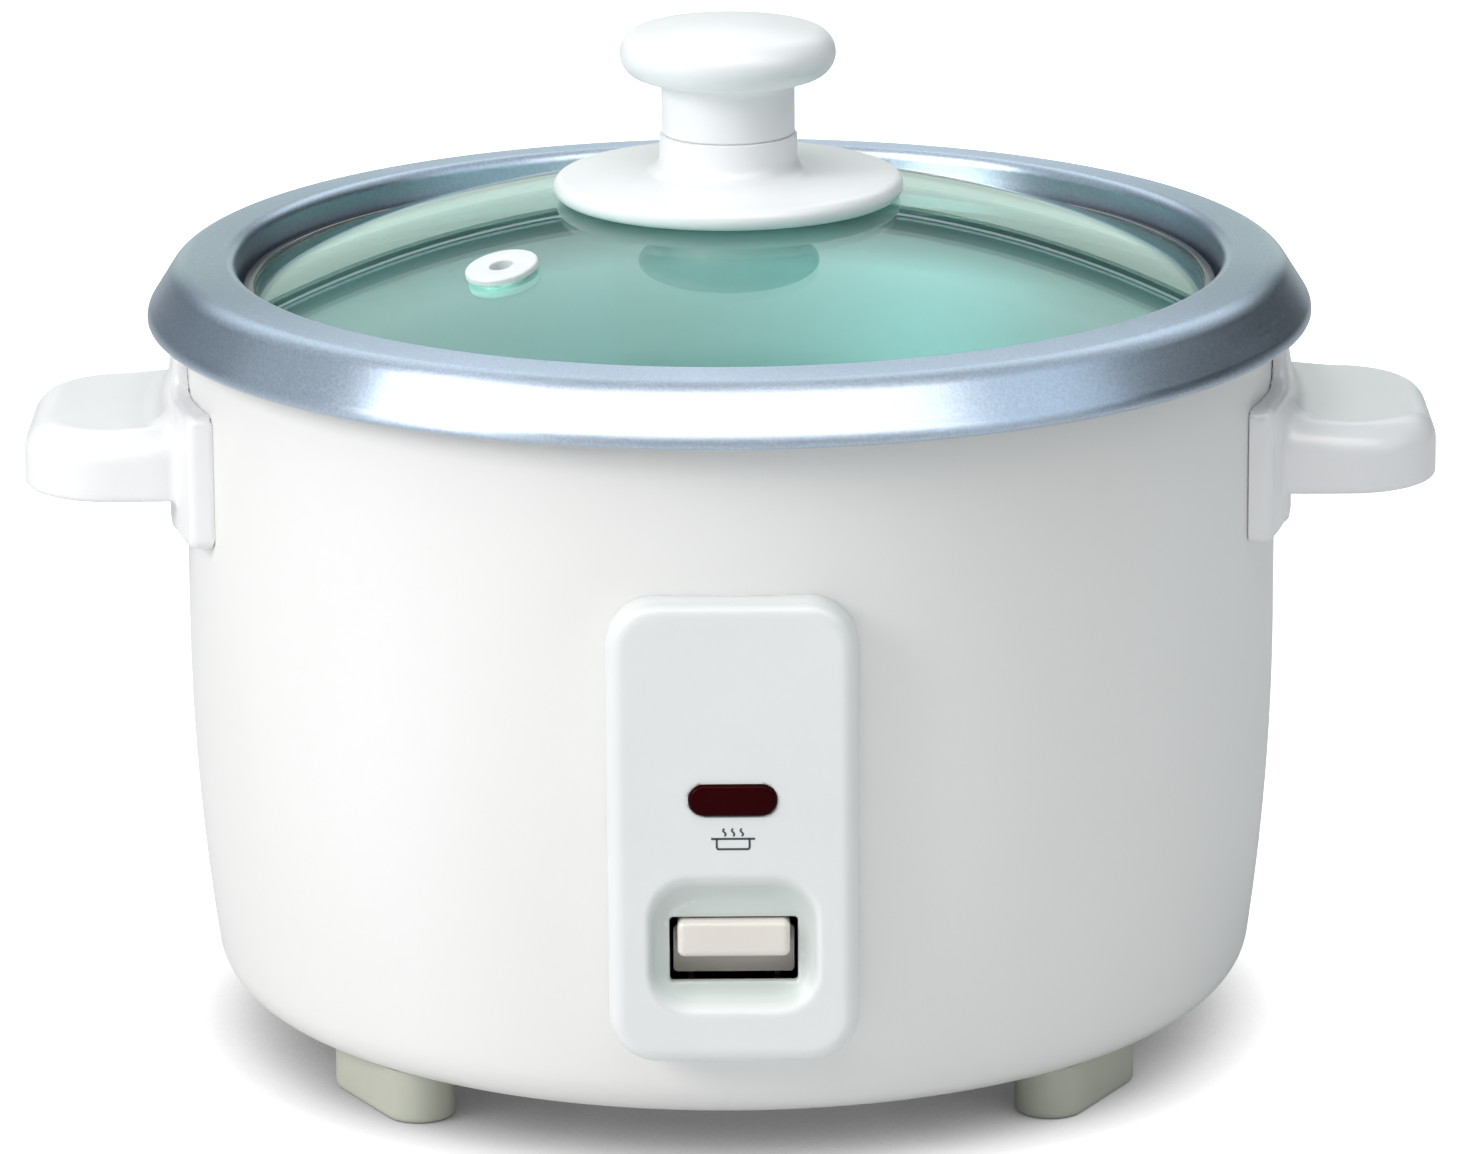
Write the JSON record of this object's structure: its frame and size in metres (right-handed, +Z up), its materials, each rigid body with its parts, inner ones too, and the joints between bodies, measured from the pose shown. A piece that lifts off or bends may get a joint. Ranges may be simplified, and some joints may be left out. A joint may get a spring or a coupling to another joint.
{
  "type": "rice cooker",
  "caption": "Drum rice cooker with a lift-out pot under a flared rim, a domed glass lid with a knob, side handles and a front panel with one cook lever.",
  "frame": {"origin": "on the surface that the feet stand on, under the axis of the drum", "axes": "+Z up, +X to the right handle, the control panel faces -Y"},
  "size_m": [0.2908, 0.24, 0.2119],
  "materials": {
    "enamel": "smooth gloss enamel, warm white",
    "white_plastic": "polished moulded plastic, white",
    "foot_plastic": "fine matt moulding, grey beige",
    "paddle_plastic": "smooth moulded plastic, ivory",
    "lens_red": "clear moulded plastic, dark red",
    "lamp_glass": "clear glass bulb",
    "sheet_steel": "zinc plated sheet",
    "screw_steel": "zinc plated",
    "band_steel": "bright stainless",
    "spring_steel": "drawn wire",
    "sheath_steel": "heat tinted sheath",
    "pot_aluminium": "satin anodised, spun",
    "cast_aluminium": "cast and turned",
    "cap_aluminium": "pressed",
    "lid_glass": "tempered, green tint",
    "grommet_silicone": "soft white silicone",
    "ferrite": "sintered",
    "phenolic": "brown moulding",
    "brass": "stamped",
    "sleeve_white": "woven sleeve",
    "inlet_black": "heat resistant moulding"
  },
  "bodies": {
    "root": {"outer_body": "enamel", "heat_shield": "sheet_steel", "base_plate": "sheet_steel", "feet": "foot_plastic", "foot_screws": "screw_steel", "base_screws": "screw_steel", "left_handle": "white_plastic", "right_handle": "white_plastic", "handle_screws": "screw_steel", "control_panel": "white_plastic", "indicator_lens": "lens_red", "indicator_lamp": "lamp_glass", "panel_screws": "screw_steel", "lever_bracket": "sheet_steel", "pivot_pin": "screw_steel", "switch_block": "phenolic", "switch_leaves": "brass", "heating_plate": "cast_aluminium", "heating_element": "sheath_steel", "plate_legs": "sheet_steel", "leg_screws": "screw_steel", "sensor_carrier": "sheet_steel", "carrier_screws": "screw_steel", "sensor_spring": "spring_steel", "warm_thermostat": "phenolic", "thermal_fuse": "sleeve_white", "fuse_strap": "sheet_steel", "power_inlet": "inlet_black", "inlet_pins": "brass", "inlet_screws": "screw_steel"},
    "pot": {"inner_pot": "pot_aluminium"},
    "lid": {"lid_glass": "lid_glass", "lid_band": "band_steel", "vent_grommet": "grommet_silicone", "knob_base": "white_plastic", "knob": "white_plastic", "lid_screw": "screw_steel", "lid_washer": "band_steel"},
    "lever": {"lever_paddle": "paddle_plastic", "lever_arm": "sheet_steel"},
    "magnet": {"lever_magnet": "ferrite", "magnet_rod": "screw_steel"},
    "sensor": {"sensor_cap": "cap_aluminium", "ferrite_disc": "ferrite"}
  },
  "joints": [
    {"name": "pot_lift", "type": "slide", "parent": "root", "child": "pot", "axis": [0, 0, 1], "range_m": [0, 0.15]},
    {"name": "lid_lift", "type": "slide", "parent": "pot", "child": "lid", "axis": [0, 0, 1], "range_m": [0, 0.1]},
    {"name": "cook_press", "type": "hinge", "parent": "root", "child": "lever", "pos_m": [0, -0.045, 0.0344], "axis": [1, 0, 0], "range_deg": [0, 4.1], "stiffness_Nm_per_rad": 0.5, "springref_deg": -5.73},
    {"name": "magnet_lift", "type": "slide", "parent": "root", "child": "magnet", "axis": [0, 0, 1], "range_m": [0, 0.00323]},
    {"name": "sensor_press", "type": "slide", "parent": "root", "child": "sensor", "axis": [0, 0, 1], "range_m": [-0.0012, 0], "stiffness_N_per_m": 300, "springref_m": 0.004, "deforming": ["sensor_spring"]}
  ],
  "couplings": [
    {"joint": "magnet_lift", "follows": "cook_press", "m_per_rad": 0.045}
  ]
}
